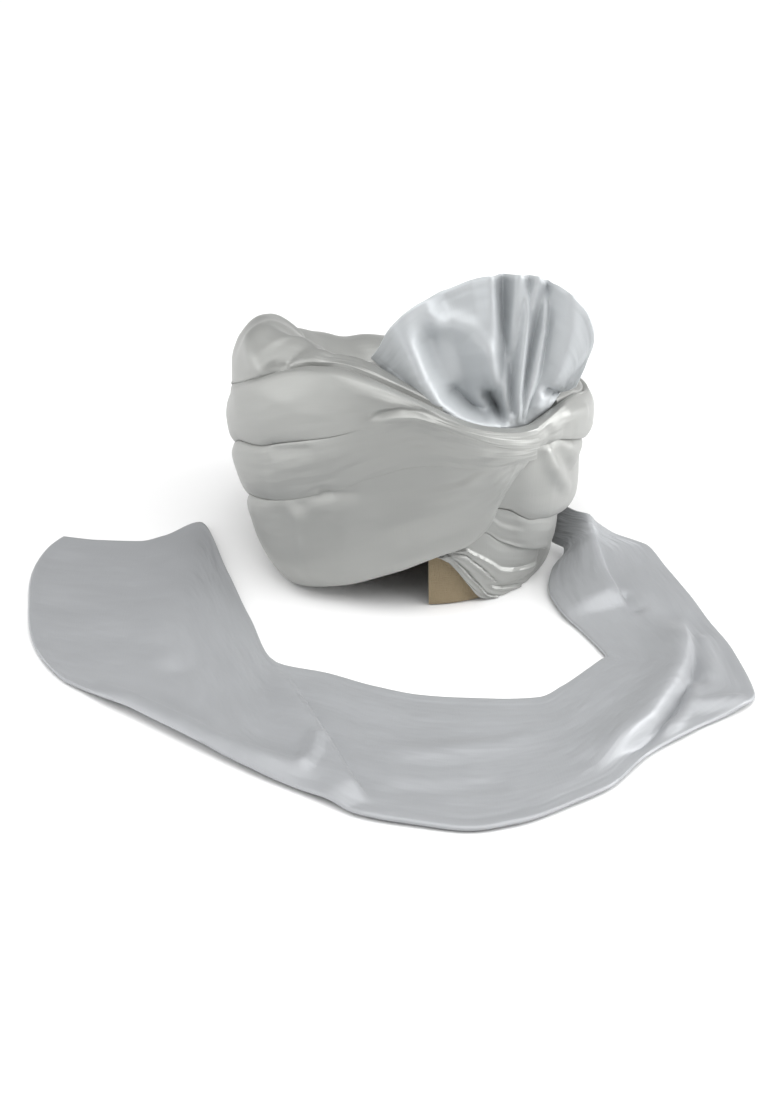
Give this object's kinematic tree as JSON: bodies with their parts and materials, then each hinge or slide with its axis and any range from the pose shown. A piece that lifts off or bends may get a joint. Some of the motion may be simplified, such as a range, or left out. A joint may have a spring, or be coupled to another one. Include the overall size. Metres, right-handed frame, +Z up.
{
  "type": "tied turban",
  "caption": "White satin safa tied over a lining cap, with wound wraps, a puffed roll, an upright pleated fan and a long tail lying round the front on the floor.",
  "frame": {"origin": "middle of the whole part's footprint, turban and tail together, on the floor that the rim and the tail lie on", "axes": "+Z up, -Y towards the front, where the tail lies and the fan faces, +X towards the side where the tail comes out"},
  "size_m": [0.4499, 0.471, 0.2141],
  "materials": {
    "satin": "white satin with a soft sheen, padded and wound",
    "fan_satin": "white satin, stiffened and pleated, one layer",
    "tail_satin": "white satin with a soft sheen, two layers lying on the floor",
    "lining": "matte golden tan lining cloth, stiffened"
  },
  "bodies": {
    "root": {"lining_cap": "lining", "crown_cover": "satin", "top_roll": "satin", "wrap_upper": "satin", "wrap_middle": "satin", "wrap_lower": "satin", "right_fold": "satin", "fan": "fan_satin", "tail": "tail_satin"}
  },
  "joints": []
}
